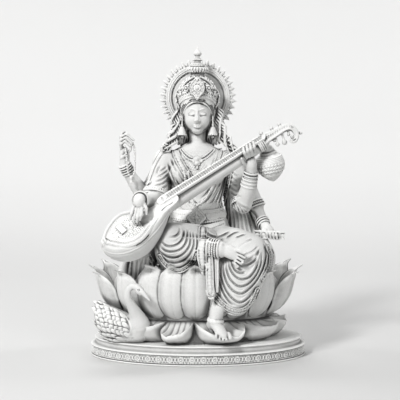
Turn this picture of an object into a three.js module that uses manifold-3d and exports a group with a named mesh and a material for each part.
// A seated four-armed goddess with a long-necked lute, cast in a fine white stone mix.
// Separate castings, bonded where they meet: an oval plinth, a lotus throne, a swan, the
// seated figure, her lute and the rayed halo behind her head.
// Units are millimetres, +Z up, the figure looks along -Y. The origin is the centre of the
// plinth's underside.
import * as THREE from "three";
import { mergeVertices } from "three/addons/utils/BufferGeometryUtils.js";
import Module from "manifold-3d";

const wasm = await Module();
wasm.setup();

// ---- driving dimensions -------------------------------------------------------------
const PLINTH_A = 140; // half width of the oval plinth
const PLINTH_B = 91; // half depth
const PLINTH_H = 24;
const LOTUS_Y = 2; // the throne's axis, behind the origin
const WAIST_A = 99; // the throne's waist, half width
const WAIST_B = 60;
const SEAT_Z = 104;
const UPPER_PETALS = 18;
const LOWER_PETALS = 10;
const HALO_Y = 27.5; // front face of the halo's disc
const HALO_RING = 37.5; // radius of the ring's middle
const HALO_RAYS = 36;
const HALO_TIP = 51;
const FIT = 0.35; // the bond line left between two castings

// ---- the front elevation ------------------------------------------------------------
// Places on the front are laid out on a 400 x 400 sheet (u to the right, v down) that shows
// the statue at 1.3 mm a unit from 1.35 m away and 3 degrees above the horizontal.
const UNIT = 1.3;
const REACH = 1350;
const TILT = (3 * Math.PI) / 180;
const MID_Z = 200;
const MID_X = 2.6;
function E(u, v, y) {
  const a = ((u - 200) * UNIT) / REACH;
  const b = ((200 - v) * UNIT) / REACH;
  const s = Math.sin(TILT);
  const c = Math.cos(TILT);
  const dz = (b * (REACH + y * c) - y * s) / (c + b * s);
  const depth = REACH + y * c - dz * s;
  return new THREE.Vector3(MID_X + a * depth, y, MID_Z + dz);
}

// ---- solids from geometry -----------------------------------------------------------
function solid(geometry) {
  let g = geometry.index ? geometry.toNonIndexed() : geometry.clone();
  for (const name of Object.keys(g.attributes))
    if (name !== "position") g.deleteAttribute(name);
  g = mergeVertices(g, 1e-4);
  const idx = g.index.array;
  const build = (flip) => {
    const tri = [];
    for (let i = 0; i < idx.length; i += 3) {
      const [a, b, c] = [idx[i], idx[i + 1], idx[i + 2]];
      if (a === b || b === c || a === c) continue;
      if (flip) tri.push(a, c, b);
      else tri.push(a, b, c);
    }
    return new wasm.Manifold(
      new wasm.Mesh({
        numProp: 3,
        vertProperties: new Float32Array(g.attributes.position.array),
        triVerts: new Uint32Array(tri),
      }),
    );
  };
  const m = build(false);
  return m.volume() < 0 ? build(true) : m;
}
function geometryOf(manifold) {
  const m = manifold.getMesh();
  const n = m.numProp;
  const v = new Float32Array(m.numVert * 3);
  for (let i = 0; i < m.numVert; i++)
    v.set(m.vertProperties.subarray(i * n, i * n + 3), i * 3);
  const g = new THREE.BufferGeometry();
  g.setAttribute("position", new THREE.BufferAttribute(v, 3));
  g.setIndex(new THREE.BufferAttribute(new Uint32Array(m.triVerts), 1));
  g.computeVertexNormals();
  return g;
}
// joins a list of solids in pairs
function join(list) {
  let parts = list.slice();
  while (parts.length > 1) {
    const next = [];
    for (let i = 0; i < parts.length; i += 2)
      next.push(i + 1 < parts.length ? parts[i].add(parts[i + 1]) : parts[i]);
    parts = next;
  }
  return parts[0];
}
// keeps the largest body, where a cut has left crumbs
function main(manifold) {
  return manifold.decompose().sort((a, b) => b.volume() - a.volume())[0];
}
// a closed skin through rings of equal length, closed by a fan at each end
function skin(rings, start, end) {
  const n = rings[0].length;
  const pos = [];
  const tri = [];
  for (const r of rings) for (const p of r) pos.push(p.x, p.y, p.z);
  for (let k = 0; k + 1 < rings.length; k++)
    for (let i = 0; i < n; i++) {
      const a = k * n + i;
      const b = k * n + ((i + 1) % n);
      tri.push(a, b, b + n, a, b + n, a + n);
    }
  const mean = (r) =>
    r.reduce((s, p) => s.add(p), new THREE.Vector3()).divideScalar(n);
  for (const [k, c] of [
    [0, start || mean(rings[0])],
    [rings.length - 1, end || mean(rings[rings.length - 1])],
  ]) {
    const at = pos.length / 3;
    pos.push(c.x, c.y, c.z);
    for (let i = 0; i < n; i++) {
      const a = k * n + i;
      const b = k * n + ((i + 1) % n);
      if (k === 0) tri.push(at, b, a);
      else tri.push(at, a, b);
    }
  }
  const g = new THREE.BufferGeometry();
  g.setAttribute("position", new THREE.Float32BufferAttribute(pos, 3));
  g.setIndex(tri);
  return solid(g);
}
const lerp = (a, b, t) => a + (b - a) * t;
function along(values, t) {
  const f = t * (values.length - 1);
  const i = Math.min(values.length - 2, Math.floor(f));
  return lerp(values[i], values[i + 1], f - i);
}
// a limb or fold: a round or flattened tube of changing radius on a smooth curve
function limb(points, radii, o = {}) {
  const { seg = 6, steps = 1, flat = 1, across = [0, 1, 0], round = true } = o;
  const grow = o.grow || 0;
  const curve = new THREE.CatmullRomCurve3(points, false, "centripetal");
  const n = steps * (points.length - 1);
  const rings = [];
  let side = new THREE.Vector3(...across);
  const ringAt = (c, t, r) => {
    side = side.clone().addScaledVector(t, -side.dot(t));
    if (side.lengthSq() < 1e-6) side.set(1, 0, 0).addScaledVector(t, -t.x);
    side.normalize();
    const other = new THREE.Vector3().crossVectors(t, side);
    const ring = [];
    for (let i = 0; i < seg; i++) {
      const a = (2 * Math.PI * (i + 0.5)) / seg;
      ring.push(
        c
          .clone()
          .addScaledVector(other, Math.cos(a) * r)
          .addScaledVector(side, Math.sin(a) * r * flat),
      );
    }
    return ring;
  };
  const radius = (t) => along(radii, t) + grow;
  let first;
  let last;
  for (let k = 0; k <= n; k++) {
    const t = k / n;
    const c = curve.getPoint(t);
    const d = curve.getTangent(t);
    const r = radius(t);
    if (k === 0 && round) {
      first = c.clone().addScaledVector(d, -r * 0.9);
      rings.push(ringAt(c.clone().addScaledVector(d, -r * 0.55), d, r * 0.78));
    }
    rings.push(ringAt(c, d, r));
    if (k === n && round) {
      rings.push(ringAt(c.clone().addScaledVector(d, r * 0.55), d, r * 0.78));
      last = c.clone().addScaledVector(d, r * 0.9);
    }
  }
  return skin(rings, first, last);
}
// an egg: a sphere scaled to three half axes, turned about Z, then X
function egg(c, rx, ry, rz, o = {}) {
  const g = new THREE.SphereGeometry(1, o.w || 8, o.h || 6);
  g.rotateX(Math.PI / 2);
  g.scale(rx + (o.grow || 0), ry + (o.grow || 0), rz + (o.grow || 0));
  if (o.ry) g.rotateY(o.ry);
  if (o.rx) g.rotateX(o.rx);
  if (o.rz) g.rotateZ(o.rz);
  g.translate(c.x, c.y, c.z);
  return solid(g);
}
// an upright body from oval sections: [u, v, y, half width, half depth]
function body(sections, o = {}) {
  const { seg = 10, grow = 0 } = o;
  const rings = sections.map(([u, v, y, a, b]) => {
    const c = E(u, v, y);
    const ring = [];
    for (let i = 0; i < seg; i++) {
      const q = (2 * Math.PI * (i + 0.5)) / seg;
      ring.push(
        new THREE.Vector3(
          c.x + Math.sin(q) * (a + grow),
          c.y - Math.cos(q) * (b + grow),
          c.z,
        ),
      );
    }
    return ring;
  });
  return skin(rings);
}
// a place on the front of such a body, at height v and q radians round from the front
function onBody(sections, v, q, out = 0) {
  const at = sections.findIndex((s) => s[1] >= v);
  const i = Math.max(1, at < 0 ? sections.length - 1 : at);
  const p = sections[i - 1];
  const n = sections[i];
  const f = Math.min(1, Math.max(0, (v - p[1]) / (n[1] - p[1])));
  const [u, y, a, b] = [0, 2, 3, 4].map((k) => lerp(p[k], n[k], f));
  const c = E(u, v, y);
  return new THREE.Vector3(
    c.x + Math.sin(q) * (a + out),
    c.y - Math.cos(q) * (b + out),
    c.z,
  );
}
// a cloth fold that hangs in a curve across the front of such a body
function swag(sections, low, high, turn, r, o = {}) {
  const { seg = 3, steps = 5, lean = 0, grow = 0 } = o;
  const pts = [];
  for (let k = 0; k <= steps; k++) {
    const q = lerp(-1, 1, k / steps);
    const v = low - (low - high) * Math.pow(Math.abs(q), 1.7);
    pts.push(onBody(sections, v, q * turn + lean, -r * 0.15));
  }
  return limb(pts, [r * 0.35, r, r, r, r * 0.35], {
    seg,
    steps: 1,
    round: false,
    grow,
  });
}
// an oval turned body: [radius, z] on a profile, squeezed in depth
function turned(profile, squeeze, seg = 48) {
  const g = new THREE.LatheGeometry(
    profile.map(([r, z]) => new THREE.Vector2(r, z)),
    seg,
  );
  g.rotateX(Math.PI / 2);
  g.scale(1, squeeze, 1);
  return solid(g);
}
function box(x0, x1, y0, y1, z0, z1) {
  const g = new THREE.BoxGeometry(x1 - x0, y1 - y0, z1 - z0);
  g.translate((x0 + x1) / 2, (y0 + y1) / 2, (z0 + z1) / 2);
  return solid(g);
}
// places at equal distances round an oval, the first in front: [angle, x, y, nx, ny]
function roundOval(a, b, count, shift = 0) {
  const N = 2000;
  const acc = [0];
  for (let i = 1; i <= N; i++) {
    const p = (2 * Math.PI * (i - 0.5)) / N;
    acc.push(acc[i - 1] + Math.hypot(a * Math.cos(p), b * Math.sin(p)));
  }
  const out = [];
  for (let k = 0; k < count; k++) {
    const want = ((k + shift) / count) * acc[N];
    let i = acc.findIndex((s) => s >= want);
    if (i < 0) i = N;
    const q = (2 * Math.PI * i) / N;
    const nx = Math.sin(q) / a;
    const ny = -Math.cos(q) / b;
    const l = Math.hypot(nx, ny);
    out.push([q, a * Math.sin(q), -b * Math.cos(q), nx / l, ny / l]);
  }
  return out;
}

// ---- plinth -------------------------------------------------------------------------
function makePlinth() {
  const A = PLINTH_A;
  return turned(
    [
      [0, 0],
      [A, 0],
      [A - 2.6, 3.4],
      [A - 2.6, 12.4],
      [A - 0.6, 14.8],
      [A - 6.5, 16],
      [A - 6.5, 22],
      [A - 5, PLINTH_H],
      [0, PLINTH_H],
    ],
    PLINTH_B / PLINTH_A,
    40,
  );
}

// ---- lotus throne -------------------------------------------------------------------
// The whole throne is one skin of columns round an oval. Each column is a line of
// [distance out from the oval, height]: under and over a drooping petal, up the outside of
// an upright petal, over its tip and down to the seat.
// the drooping petals, from their middle (first) to the sepal between two of them (last)
const DROOP = [
  [[-30, PLINTH_H + 0.3], [-14, PLINTH_H + 0.3], [14, 41], [-2, 40], [-16, 46]],
  [[-30, PLINTH_H + 0.3], [-14, PLINTH_H + 0.3], [11, 41.5], [-3, 40.5], [-16, 46]],
  [[-30, PLINTH_H + 0.3], [-16, PLINTH_H + 0.3], [5, 42.5], [-6, 41.5], [-16, 46]],
  [[-30, PLINTH_H + 0.3], [-20, PLINTH_H + 0.3], [-6, 43], [-12, 42], [-16, 46]],
  [[-30, PLINTH_H + 0.3], [6, PLINTH_H + 0.3], [-5, 35], [-13, 40], [-16, 46]],
];
// the upright petals: down the middle of one, half way to its edge, and at its edge
const UPRIGHT = [
  [[2, 50], [14, 67], [18, 88], [18.5, 106], [27, 121.5], [12, 108], [-6, SEAT_Z]],
  [[0, 50], [11.5, 67], [15.5, 88], [15.5, 105], [18.5, 116], [10, 109], [-6, SEAT_Z]],
  [[-8, 50], [1, 67], [5, 88], [7, 101], [8.5, 109], [4, 106], [-6, SEAT_Z]],
];
function makeLotus() {
  const count = UPPER_PETALS * 4;
  const low = DROOP[0].length;
  const columns = roundOval(WAIST_A, WAIST_B, count);
  const rings = [];
  for (let k = 0; k < low + UPRIGHT[0].length; k++)
    rings.push(
      columns.map(([q, x, y, nx, ny], i) => {
        // 0 at a droop's middle, 1 at the sepal between two of them
        const wave = Math.abs(((((i * LOWER_PETALS) / count) % 1) - 0.5) * 2);
        const droop = DROOP[0].map((_, j) =>
          [0, 1].map((d) =>
            along(
              DROOP.map((l) => l[j][d]),
              wave,
            ),
          ),
        );
        const line = [...droop, ...UPRIGHT[[0, 1, 2, 1][i % 4]]];
        // toward the two ends the tips lean out and sink
        const side = Math.pow(Math.abs(Math.sin(q)), 3);
        const tip = [0, 0, 0.1, 0.45, 1, 0.5, 0][k - low] || 0;
        const off = line[k][0] + tip * side * 15;
        return new THREE.Vector3(
          x + nx * off,
          y + ny * off,
          line[k][1] - tip * side * 13,
        );
      }),
    );
  return skin(rings).translate([0, LOTUS_Y, 0]);
}

// ---- lute ---------------------------------------------------------------------------
// the sound board faces forward and up; BOARD is its middle, N its outward direction
const NECK_LOW = E(160, 211, -55);
const NECK_TOP = E(264, 144, -38);
const NECK_DIR = NECK_TOP.clone().sub(NECK_LOW).normalize();
const BOARD_N = new THREE.Vector3(-0.22, -0.82, 0.5);
BOARD_N.addScaledVector(NECK_DIR, -BOARD_N.dot(NECK_DIR)).normalize();
const BOARD = E(131, 226, -81);
function makeLute(grow = 0, bare = false) {
  const f = { grow };
  const slim = { seg: 5, steps: 1, round: false, ...f };
  const side = new THREE.Vector3().crossVectors(BOARD_N, NECK_DIR);
  // bowl: a pear round an axis behind the sound board, cut flat by it
  const w = (u, v, depth) => {
    const p = E(u, v, -70);
    const h = p.clone().sub(BOARD).dot(BOARD_N);
    return p.addScaledVector(BOARD_N, -h - depth);
  };
  const flat = new THREE.BoxGeometry(220, 220, 80);
  flat.applyMatrix4(new THREE.Matrix4().makeBasis(NECK_DIR, side.clone().negate(), BOARD_N));
  const at = BOARD.clone().addScaledVector(BOARD_N, 40 + grow);
  flat.translate(at.x, at.y, at.z);
  const bowl = limb(
    [w(106.5, 243, 5), w(117, 241.5, 12), w(131, 237.5, 16), w(146, 226, 13), w(160, 211, 8), w(172, 200, 5)],
    [8, 19.5, 25.4, 21, 12.6, 9],
    { seg: 10, steps: 1, ...f },
  ).subtract(solid(flat));
  const parts = [
    bowl,
    limb([NECK_LOW, NECK_TOP], [9.4, 6.8], { seg: 8, steps: 1, ...f }),
    // fret board along the neck's upper front
    limb([E(166, 200, -66), E(262, 138, -47)], [5.6, 4.6], { ...slim, flat: 0.5 }),
  ];
  // bare: only what the hands and the lap touch
  if (bare) return join(parts);
  parts.push(
    // bridge on the sound board
    limb([E(116, 226, -84), E(126, 233, -82)], [3.4, 3.4], slim),
    // collar at the head of the neck
    limb([E(258, 147.5, -39), E(265, 142.5, -39)], [9.4, 9.4], { seg: 8, steps: 1, round: false, ...f }),
    // peg box that curves over into a scroll
    limb(
      [E(262, 143.5, -40), E(275, 135.5, -40), E(286, 130, -40), E(294, 130, -40), E(296.5, 136, -40), E(291, 139, -40)],
      [7, 6, 5, 4, 3.6, 4.6],
      { ...slim, seg: 6, flat: 1.3 },
    ),
    // gourd under the head of the neck
    egg(E(271.5, 165, -22), 17.6, 17.6, 19.2, { w: 10, h: 7, ...f }),
    limb([E(260.5, 147, -37), E(267.5, 157, -26)], [7, 8], { ...slim, seg: 6 }),
  );
  for (const [u, v, r] of [
    [261.5, 134, 2.6],
    [271, 128.5, 2.6],
    [279, 124.5, 2.6],
    [300.5, 133, 2.4],
    [278, 144.5, 2.8],
    [284.5, 141.5, 3.2],
  ])
    parts.push(
      limb([E(lerp(u, 279, 0.4), lerp(v, 134, 0.95), -40), E(u, v, -40)], [1.3, r], { ...slim, seg: 4 }),
    );
  return join(parts);
}

// ---- halo ---------------------------------------------------------------------------
const HALO_C = E(198, 97.5, HALO_Y);
function makeHalo(grow = 0) {
  // a disc edged with pointed rays, and a raised ring on its face
  const shape = new THREE.Shape();
  const at = (r, a) => [Math.sin(a) * r, Math.cos(a) * r];
  const d = Math.PI / HALO_RAYS;
  for (let k = 0; k < HALO_RAYS; k++) {
    const a = 2 * d * k;
    if (k === 0) shape.moveTo(...at(HALO_RING + 4 + grow, a - d));
    else shape.lineTo(...at(HALO_RING + 4 + grow, a - d));
    shape.lineTo(...at(HALO_TIP + grow, a));
  }
  shape.closePath();
  const g = new THREE.ExtrudeGeometry(shape, {
    depth: 5 + 2 * grow,
    bevelEnabled: false,
  });
  g.rotateX(Math.PI / 2);
  g.translate(HALO_C.x, HALO_Y + 5 + grow, HALO_C.z);
  const ring = new THREE.TorusGeometry(HALO_RING, 3.6 + grow, 4, 24);
  ring.rotateX(Math.PI / 2);
  ring.translate(HALO_C.x, HALO_Y + 1, HALO_C.z);
  return join([solid(g), solid(ring)]);
}

// ---- swan ---------------------------------------------------------------------------
function makeSwan(grow = 0) {
  const f = { grow };
  const parts = [
    // back and folded wings, then breast
    limb(
      [E(98, 308, -22), E(108, 318, -34), E(121, 329, -44), E(137.5, 330, -55)],
      [7, 18, 20, 15.5],
      { seg: 10, steps: 1, ...f },
    ),
    // neck
    limb(
      [
        E(139, 326, -58),
        E(136.8, 316, -65),
        E(131.4, 305.5, -72),
        E(127.6, 297, -77),
        E(128.4, 290.5, -79),
        E(132.5, 286.6, -81),
        E(138.5, 288.6, -83),
      ],
      [13, 9.4, 6.2, 5, 4.4, 4.4, 5.2],
      { seg: 7, steps: 1, ...f },
    ),
    egg(E(139.8, 290.8, -84), 6.6, 5, 5.4, { w: 7, h: 5, ry: 0.5, ...f }),
    limb([E(142.8, 293, -87), E(149.6, 300.4, -90.5)], [3.3, 0.9], {
      seg: 5,
      steps: 1,
      round: false,
      ...f,
    }),
  ];
  // ridges of feathers along the wing
  for (let k = 0; k < 3; k++) {
    const a = lerp(-0.5, 0.8, k / 2);
    const off = (r) => new THREE.Vector3(0, -Math.cos(a) * r, Math.sin(a) * r);
    parts.push(
      limb(
        [
          E(97, 306, -22).add(off(6)),
          E(108, 318, -34).add(off(17)),
          E(120, 327, -43).add(off(18.6)),
        ],
        [1.2, 3.2, 2],
        { seg: 4, steps: 1, round: false, ...f },
      ),
    );
  }
  return join(parts).subtract(
    box(-200, 0, -140, 60, -30, PLINTH_H + 0.3 - grow),
  );
}

// ---- figure -------------------------------------------------------------------------
// oval sections of the trunk: [u, v, y, half width, half depth]
const TORSO = [
  [197, 147, 8, 15, 12],
  [197, 151, 8, 35, 17],
  [198, 158, 7, 42, 23],
  [198, 172, 6, 39, 25],
  [198, 187, 7, 35, 23],
  [198, 207, 8, 31, 21],
  [198, 210, 9, 35.5, 24.5],
  [198, 224, 9, 40.5, 28.5],
  [198, 226.5, 9, 38.5, 27],
  [198, 268, 9, 52, 38],
];
// the cloth over each bent leg
const RIGHT_DRAPE = [
  [180, 226, -34, 10, 12],
  [176, 233, -40, 21, 24],
  [175.5, 243, -44, 25, 30],
  [177, 255, -46, 26, 28],
  [180, 270, -46, 12, 14],
];
const LEFT_DRAPE = [
  [243, 237, -40, 20, 18],
  [241, 247, -46, 32, 32],
  [240, 262, -58, 34.5, 33],
  [239, 277, -69, 33, 26],
  [238, 297, -80, 25, 16],
  [238, 313, -84, 11, 8],
];
function lowerBody(grow = 0) {
  const f = { grow };
  return [
    // thighs, shins and their hanging cloth
    limb([E(186, 247, 6), E(172, 240, -54)], [27, 19.5], { steps: 1, seg: 8, ...f }),
    limb([E(213, 247, 6), E(252.5, 250.5, -52)], [27, 19.5], { steps: 1, seg: 8, ...f }),
    egg(E(170.5, 237.5, -55), 19, 20, 19, { w: 8, h: 6, ...f }),
    body(RIGHT_DRAPE, { seg: 9, ...f }),
    body(LEFT_DRAPE, { seg: 10, ...f }),
    limb([E(168, 245, -60), E(214, 249, -82)], [15, 10.5], { steps: 1, seg: 8, ...f }),
    limb([E(226, 292, -76), E(217.5, 306, -82), E(216, 317, -82), E(216, 318, -82), E(216, 321.5, -82), E(216, 322.5, -82)], [11, 9, 8.4, 10.2, 10.2, 8.2], { steps: 1, ...f }),
    // left foot, on the lower petal
    limb([E(214.5, 322, -80), E(219, 331, -84), E(224, 337.5, -87)], [8, 7.6, 6], {
      steps: 1,
      seg: 6,
      flat: 0.8,
      ...f,
    }),
    // cloth under the lute and behind the left knee
    limb([E(152, 246, -28), E(146, 262, -34), E(150, 278, -36)], [10, 15, 12], { seg: 6, steps: 1, flat: 1.2, ...f }),
    limb([E(262, 240, -16), E(268, 256, -24), E(262, 276, -30)], [7, 8, 7], { seg: 6, steps: 1, flat: 1.6, ...f }),
    // pleated cloth ends between the knees
    limb(
      [E(199, 229, -34), E(203, 242, -76), E(204, 256, -90), E(203, 273, -84)],
      [6, 7.4, 7.4, 6.6],
      { seg: 5, steps: 1, flat: 0.45, round: false, ...f },
    ),
    limb([E(210, 258, -88), E(209.5, 278, -92), E(211, 298, -94)], [4, 5, 5.4], {
      seg: 5,
      steps: 1,
      flat: 0.6,
      round: false,
      ...f,
    }),
  ];
}
// a straight part of a limb with cuffs and bangles: [share of the way, radius] stops
function cuffed(a, b, stops, o = {}) {
  return limb(
    stops.map(([f]) => a.clone().lerp(b, f)),
    stops.map(([, r]) => r),
    o,
  );
}
function makeFigure() {
  const slim = { seg: 4, steps: 1, round: false };
  const parts = [
    body(TORSO, { seg: 10 }),
    // neck, head and hair
    limb([E(197.5, 150, 4), E(197.5, 134, 0)], [12, 11], { steps: 1, round: false }),
    egg(E(197.3, 115.5, 1), 18.2, 22, 26, { w: 9, h: 7 }),
    egg(E(197.5, 122, 12), 23, 13, 22, { w: 8, h: 5 }),
    limb([E(197.5, 124, 13), E(197.5, 145, 20), E(197.5, 172, 25)], [20, 24, 17], { seg: 6, flat: 0.36 }),
    egg(E(197.3, 121, -20), 2.6, 4.6, 4.6, { w: 5, h: 4 }),
    // breasts and shoulders
    egg(E(180.5, 174, -11), 13.5, 14, 13.5, { w: 7, h: 6 }),
    egg(E(215, 174, -11), 13.5, 14, 13.5, { w: 7, h: 6 }),
    // front right arm, which comes forward to the strings
    cuffed(E(164.5, 160.5, 7), E(157.5, 197, -7), [[0, 14], [0.82, 12.4], [0.84, 14], [0.98, 14.4], [1, 11]], { seg: 7 }),
    cuffed(E(157.5, 197, -8), E(139.5, 200.5, -82), [[0, 10.8], [0.68, 8.6], [0.7, 10.2], [0.84, 9.8], [0.86, 7.6], [1, 7.4]]),
    egg(E(138.5, 204.5, -88), 8.6, 6, 9.5, { w: 6, h: 4 }),
    // back right arm, raised with the beads
    limb([E(165, 162, 14), E(147, 196, 16)], [11, 11], { steps: 1 }),
    cuffed(E(145, 197, 15), E(125, 164, 4), [[0, 10.4], [0.68, 7.4], [0.7, 8.8], [0.94, 8.2], [0.96, 6.2], [1, 6]]),
    egg(E(124.8, 151, 2), 6.6, 6.4, 15, { w: 6, h: 5 }),
    limb([E(121, 146, 0), E(122.5, 134, -1), E(130.5, 126.8, -2)], [3, 2.8, 1.6], slim),
    limb([E(120.5, 142, -4), E(127, 137.5, -8), E(134.5, 144, -7)], [3.4, 4.2, 2.6], slim),
    // its ring of beads
    limb(
      [E(127, 141, -8), E(126.5, 160, -10), E(131, 177.5, -10), E(134.8, 160, -8), E(133.6, 141, -7)],
      [1.5, 1.5, 1.8, 1.5, 1.5],
      slim,
    ),
    // front left arm, up to the neck of the lute
    limb([E(231.5, 160.5, 8), E(240, 203, -16)], [14, 12], { steps: 1 }),
    cuffed(E(243, 203.5, -18), E(251.5, 168, -37), [[0, 11], [0.55, 9.4], [0.58, 11], [0.9, 10], [0.92, 7.4], [1, 7]]),
    egg(E(251, 161.5, -44), 8, 7, 12, { w: 6, h: 5 }),
    // back left arm, down to the book
    limb([E(233, 162, 14), E(249, 192, 20), E(256, 208, 14)], [11, 11, 10], { steps: 1 }),
    cuffed(E(254.5, 206, 15), E(264.5, 226, -10), [[0, 10], [0.18, 10], [0.2, 12.4], [0.3, 12], [0.32, 8.4], [0.7, 7.4], [0.72, 9], [0.86, 8.8], [0.88, 6.6], [1, 6.4]]),
    egg(E(269, 230.5, -16), 9, 7, 8, { w: 6, h: 4 }),
    // the shawl that falls behind each side
    limb([E(228, 176, 20), E(240, 205, 24), E(246, 232, 22), E(246, 256, 16)], [10, 20, 25, 24], {
      seg: 6,
      steps: 1,
      flat: 0.42,
    }),
    limb([E(168, 176, 22), E(160, 205, 24), E(158, 236, 16), E(160, 262, 8)], [8, 14, 20, 22], {
      seg: 6,
      steps: 1,
      flat: 0.5,
    }),
  ];
  // four fingers on the strings, and four over the neck
  for (let k = 0; k < 4; k++) {
    const arc = Math.abs(k - 1.6) * 0.9;
    parts.push(
      limb([E(134.6 + 3 * k, 207, -90), E(130.6 + 3.1 * k, 221 - arc, -87)], [2.8, 1.7], slim),
      limb([E(247 + 3 * k, 158 - 0.6 * k, -49), E(245.4 + 3.4 * k, 151.6 - 1.4 * k, -55), E(244.4 + 3.4 * k, 147 - 1.6 * k, -52)], [2.6, 2.7, 2], slim),
    );
  }
  parts.push(limb([E(143, 203, -88), E(146, 213, -88)], [2.6, 1.8], slim));
  // right foot and its cuff, laid on the left thigh
  parts.push(
    limb([E(208.5, 248.5, -82), E(220.5, 249, -86)], [11.2, 10.4], { seg: 8, steps: 1, round: false }),
    limb([E(219, 249, -85), E(229, 251, -88), E(237, 255.5, -88)], [8.8, 8.4, 7.4], { seg: 7, steps: 1, flat: 0.75 }),
  );
  for (let k = 0; k < 3; k++)
    parts.push(
      limb([E(235 - k, 253 + k * 3.6, -90), E(243.4 - k * 2, 256 + k * 3.6, -91)], [3.2, 2.2], slim),
      limb([E(218.6 + k * 4, 333, -88), E(220 + k * 4, 339 - k * 0.7, -92)], [3, 2.2], slim),
    );
  // crown: a domed cap, a flat cushion and a finial
  const crown = turned(
    [
      [0, 0],
      [23, 0],
      [25.4, 12],
      [22.5, 24],
      [8.4, 35],
      [13.2, 42],
      [7.6, 47.5],
      [6.4, 53],
      [2.6, 58],
      [5, 62],
      [0, 75],
    ],
    1,
    12,
  );
  const crownFoot = E(197.5, 103.5, 2);
  parts.push(crown.translate([crownFoot.x, crownFoot.y, crownFoot.z]));
  parts.push(egg(E(197.3, 89, -22), 9, 4, 15, { w: 6, h: 4 }));
  for (const s of [-1, 1]) {
    // a lock of hair down to the shoulder, an ear bell, a side wing of the crown
    parts.push(
      limb(
        [
          E(197.5 + s * 16, 109, 3),
          E(197.5 + s * 20, 128, 4),
          E(197.5 + s * 27, 143, 3),
          E(197.5 + s * 40, 156, 4),
        ],
        [5, 9, 8.4, 4],
        { seg: 6, steps: 1, round: false },
      ),
      limb([E(197.5 + s * 15.2, 126, -1), E(197.5 + s * 15.2, 136, -2)], [1.4, 4.4], { seg: 6, steps: 1, round: false }),
      limb([E(197.5 + s * 20, 91, 0), E(197.5 + s * 20.5, 104, 0)], [2.2, 3.2], { seg: 4, steps: 1, flat: 2, round: false }),
    );
  }
  // the girdle's jewelled clasp
  const clasp = new THREE.OctahedronGeometry(1, 0);
  clasp.scale(12, 6, 15);
  const claspAt = onBody(TORSO, 218, 0, 1);
  clasp.translate(claspAt.x - 2, claspAt.y, claspAt.z);
  parts.push(solid(clasp));
  // necklace and the borders of the cloth over the breast
  parts.push(
    limb(
      [onBody(TORSO, 150, -0.9, 2), onBody(TORSO, 161, -0.02, 2), onBody(TORSO, 150, 0.85, 2)],
      [1.8, 4, 1.8],
      slim,
    ),
    limb([E(176, 149, -14), E(180, 161, -22), E(191, 183, -21)], [4, 5, 4.6], { ...slim, flat: 0.5 }),
    limb([E(220, 150, -14), E(219, 160, -21), E(214, 172, -25)], [3.6, 4, 4], { ...slim, flat: 0.5 }),
    limb([E(229, 173, -12), E(226, 190, -14), E(220, 207, -13)], [3.2, 3.6, 3.6], { ...slim, flat: 0.6 }),
  );
  // folds: hanging curves over both shins, falls in the shawl
  for (let k = 0; k < 3; k++)
    parts.push(swag(RIGHT_DRAPE, 245 + k * 6, 231 + k * 2, 1.15, 3, { steps: 3, lean: 0.1 }));
  for (let k = 0; k < 4; k++)
    parts.push(swag(LEFT_DRAPE, 267 + k * 10.8, 248 + k * 4.2, 1.2, 3.4, { steps: 3, lean: 0.02 }));
  parts.push(swag(LEFT_DRAPE, 312, 268, 1.42, 3.4, { steps: 3 }));
  for (let k = 0; k < 3; k++)
    parts.push(
      limb(
        [E(232 + k * 6.6, 190 + k * 6.6, 17), E(234 + k * 9.2, 214, 15), E(236 + k * 10.4, 240, 13)],
        [1.6, 3.4, 3],
        slim,
      ),
    );
  // palm-leaf book in the lower left hand
  const book = new THREE.BoxGeometry(39, 10, 9);
  book.rotateY(0.05);
  book.rotateZ(0.14);
  const bookAt = E(269.5, 234.5, -22);
  book.translate(bookAt.x, bookAt.y, bookAt.z);
  parts.push(solid(book));
  // all but the legs and their cloth stays above the seat
  const seat = box(-200, 200, -75, 200, 0, SEAT_Z + FIT);
  return join([join(parts).subtract(seat), ...lowerBody()]);
}

// ---- assembly -----------------------------------------------------------------------
const plinth = makePlinth();
const lute = makeLute();
const halo = main(makeHalo());
const figure = main(makeFigure().subtract(makeLute(FIT, true)));
const swan = main(makeSwan());
const lotus = main(
  makeLotus()
    .subtract(join([...lowerBody(FIT + 3), box(-200, 200, -200, 200, SEAT_Z, 400).intersect(body(TORSO.slice(-2), { seg: 12, grow: FIT }))]))
    .subtract(makeSwan(FIT)),
);

const stone = (name, manifold, tone) => {
  const material = new THREE.MeshStandardMaterial({
    color: new THREE.Color(tone, tone, tone * 0.985),
    roughness: 0.6,
    metalness: 0,
  });
  const mesh = new THREE.Mesh(geometryOf(manifold), material);
  mesh.name = name;
  return mesh;
};
const statue = new THREE.Group();
statue.add(
  stone("plinth", plinth, 0.74),
  stone("lotus_throne", lotus, 0.76),
  stone("swan", swan, 0.8),
  stone("figure", figure, 0.8),
  stone("veena", lute, 0.78),
  stone("halo", halo, 0.76),
);
export default statue;
